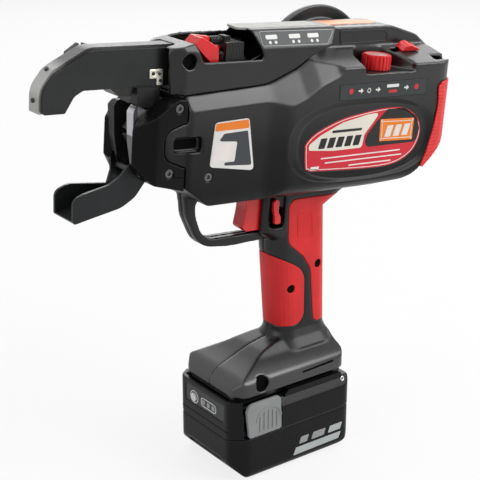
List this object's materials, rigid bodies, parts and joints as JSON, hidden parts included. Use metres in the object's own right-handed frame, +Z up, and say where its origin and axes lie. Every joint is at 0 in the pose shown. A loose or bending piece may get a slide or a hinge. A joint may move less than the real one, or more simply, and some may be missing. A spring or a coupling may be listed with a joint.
{
  "type": "rebar tying tool",
  "caption": "Pistol-grip tool with a curved steel jaw that feeds wire round crossed bars, cuts it and twists it tight, with a side wire reel and a clip-on battery.",
  "frame": {"origin": "under the middle of the battery, on the flat bottom face that the tool stands on", "axes": "+Z up, the nose points along -X, the wire reel is on the +Y side"},
  "size_m": [0.3266, 0.0936, 0.3235],
  "materials": {
    "charcoal_plastic": "textured moulding",
    "black_plastic": "satin moulding",
    "red_soft": "soft matte pad",
    "red_plastic": "satin moulding",
    "satin_steel": "satin ground",
    "dark_steel": "black oxide",
    "zinc": "zinc plated",
    "gear_brass": "sintered",
    "copper_wound": "wound rotor",
    "tie_wire": "black annealed wire",
    "grey_plastic": "satin moulding",
    "board_green": "circuit board",
    "cell_sleeve": "shrink sleeve"
  },
  "bodies": {
    "body": {"housing_left": "charcoal_plastic", "housing_right": "charcoal_plastic", "top_cover": "charcoal_plastic", "nose_cover": "black_plastic", "grip_front_pad": "red_soft", "grip_rear_pad": "red_soft", "rear_bumper": "red_soft", "housing_screws": "dark_steel", "nose_screws": "satin_steel", "arm_core": "satin_steel", "arm_plate_left": "dark_steel", "arm_plate_right": "dark_steel", "arm_bumper": "black_plastic", "curl_liner": "satin_steel", "arm_bracket": "zinc", "arm_screws": "dark_steel", "cutter_block": "satin_steel", "contact_plate_left": "satin_steel", "contact_plate_right": "satin_steel", "arm_end_pin": "satin_steel", "twist_tube": "satin_steel", "bearing_front": "satin_steel", "bearing_rear": "satin_steel", "ring_gear": "satin_steel", "motor_can": "dark_steel", "feed_frame": "dark_steel", "feed_motor": "satin_steel", "lever_pin": "satin_steel", "release_spring": "satin_steel", "reel_case": "charcoal_plastic", "reel_axle": "satin_steel", "reel_cap": "red_plastic", "trigger_switch": "black_plastic", "lock_pin": "satin_steel", "control_board": "board_green", "terminal_block": "black_plastic"},
    "channel": {"arm_end": "dark_steel"},
    "twister": {"twist_shaft": "satin_steel", "twist_hook": "satin_steel"},
    "planet_1": {"planet_gear_1": "gear_brass"},
    "planet_2": {"planet_gear_2": "gear_brass"},
    "planet_3": {"planet_gear_3": "gear_brass"},
    "rotor": {"motor_rotor": "copper_wound"},
    "feed_drive": {"feed_gear": "gear_brass", "drive_roller": "satin_steel"},
    "feed_pinion": {"feed_pinion": "gear_brass"},
    "lever": {"release_lever": "red_plastic"},
    "idler": {"idler_roller": "satin_steel"},
    "reel": {"reel": "black_plastic", "wire_coil": "tie_wire"},
    "stop": {"reel_stop": "red_plastic"},
    "trigger": {"trigger": "red_plastic"},
    "lock": {"lock_lever": "red_plastic"},
    "dial": {"torque_dial": "red_plastic"},
    "battery": {"battery_tray": "black_plastic", "battery_top": "black_plastic", "battery_cells": "cell_sleeve"},
    "latch_left": {"latch_left": "grey_plastic"},
    "latch_right": {"latch_right": "grey_plastic"},
    "charge_button": {"charge_button": "grey_plastic"}
  },
  "joints": [
    {"name": "channel_swing", "type": "hinge", "parent": "body", "child": "channel", "pos_m": [-0.11367, 0, 0.24085], "axis": [0, 1, 0], "range_deg": [-35, 0], "stiffness_Nm_per_rad": 0.6, "springref_deg": 20.05},
    {"name": "twist", "type": "hinge", "parent": "body", "child": "twister", "pos_m": [0, 0, 0.255], "axis": [0.9962, 0, -0.0872], "continuous": true},
    {"name": "planet_1_spin", "type": "hinge", "parent": "twister", "child": "planet_1", "pos_m": [0.03492, 0, 0.26399], "axis": [0.9962, 0, -0.0872], "continuous": true},
    {"name": "planet_2_spin", "type": "hinge", "parent": "twister", "child": "planet_2", "pos_m": [0.03335, -0.01039, 0.24606], "axis": [0.9962, 0, -0.0872], "continuous": true},
    {"name": "planet_3_spin", "type": "hinge", "parent": "twister", "child": "planet_3", "pos_m": [0.03335, 0.01039, 0.24606], "axis": [0.9962, 0, -0.0872], "continuous": true},
    {"name": "rotor_spin", "type": "hinge", "parent": "body", "child": "rotor", "pos_m": [0.05977, 0, 0.24977], "axis": [0.9962, 0, -0.0872], "continuous": true},
    {"name": "feed_spin", "type": "hinge", "parent": "body", "child": "feed_drive", "pos_m": [-0.05863, 0, 0.29627], "axis": [0, 1, 0], "continuous": true},
    {"name": "pinion_spin", "type": "hinge", "parent": "body", "child": "feed_pinion", "pos_m": [-0.03876, 0, 0.29854], "axis": [0, 1, 0], "continuous": true},
    {"name": "release_swing", "type": "hinge", "parent": "body", "child": "lever", "pos_m": [-0.04786, 0, 0.31038], "axis": [0, 1, 0], "range_deg": [0, 12], "stiffness_Nm_per_rad": 0.25, "springref_deg": -11.46, "deforming": ["release_spring"]},
    {"name": "idler_spin", "type": "hinge", "parent": "lever", "child": "idler", "pos_m": [-0.05758, 0, 0.30822], "axis": [0, 1, 0], "continuous": true},
    {"name": "reel_spin", "type": "hinge", "parent": "body", "child": "reel", "pos_m": [0.07319, 0.04, 0.27118], "axis": [0, 1, 0], "continuous": true},
    {"name": "stop_slide", "type": "slide", "parent": "body", "child": "stop", "axis": [-0.9962, 0, 0.0872], "range_m": [0, 0.006], "stiffness_N_per_m": 150, "springref_m": -0.004},
    {"name": "trigger_pull", "type": "slide", "parent": "body", "child": "trigger", "axis": [0.9962, 0, -0.0872], "range_m": [0, 0.007], "stiffness_N_per_m": 600, "springref_m": -0.004},
    {"name": "lock_turn", "type": "hinge", "parent": "body", "child": "lock", "pos_m": [-0.00062, -0.013, 0.19743], "axis": [0, 1, 0], "range_deg": [-8, 7]},
    {"name": "dial_turn", "type": "hinge", "parent": "body", "child": "dial", "pos_m": [0.08169, -0.021, 0.28801], "axis": [0.0872, 0, 0.9962], "range_deg": [-135, 135]},
    {"name": "battery_slide", "type": "slide", "parent": "body", "child": "battery", "axis": [-1, 0, 0], "range_m": [0, 0.095]},
    {"name": "latch_left_press", "type": "slide", "parent": "battery", "child": "latch_left", "axis": [0, 1, 0], "range_m": [0, 0.002], "stiffness_N_per_m": 1500, "springref_m": -0.001},
    {"name": "latch_right_press", "type": "slide", "parent": "battery", "child": "latch_right", "axis": [0, -1, 0], "range_m": [0, 0.002], "stiffness_N_per_m": 1500, "springref_m": -0.001},
    {"name": "charge_press", "type": "slide", "parent": "battery", "child": "charge_button", "axis": [1, 0, 0], "range_m": [0, 0.0006], "stiffness_N_per_m": 1200, "springref_m": -0.0006}
  ],
  "couplings": [
    {"joint": "planet_1_spin", "follows": "twist", "ratio": -3},
    {"joint": "planet_2_spin", "follows": "twist", "ratio": -3},
    {"joint": "planet_3_spin", "follows": "twist", "ratio": -3},
    {"joint": "rotor_spin", "follows": "twist", "ratio": 4},
    {"joint": "pinion_spin", "follows": "feed_spin", "ratio": -3},
    {"joint": "idler_spin", "follows": "feed_spin", "ratio": -1}
  ]
}
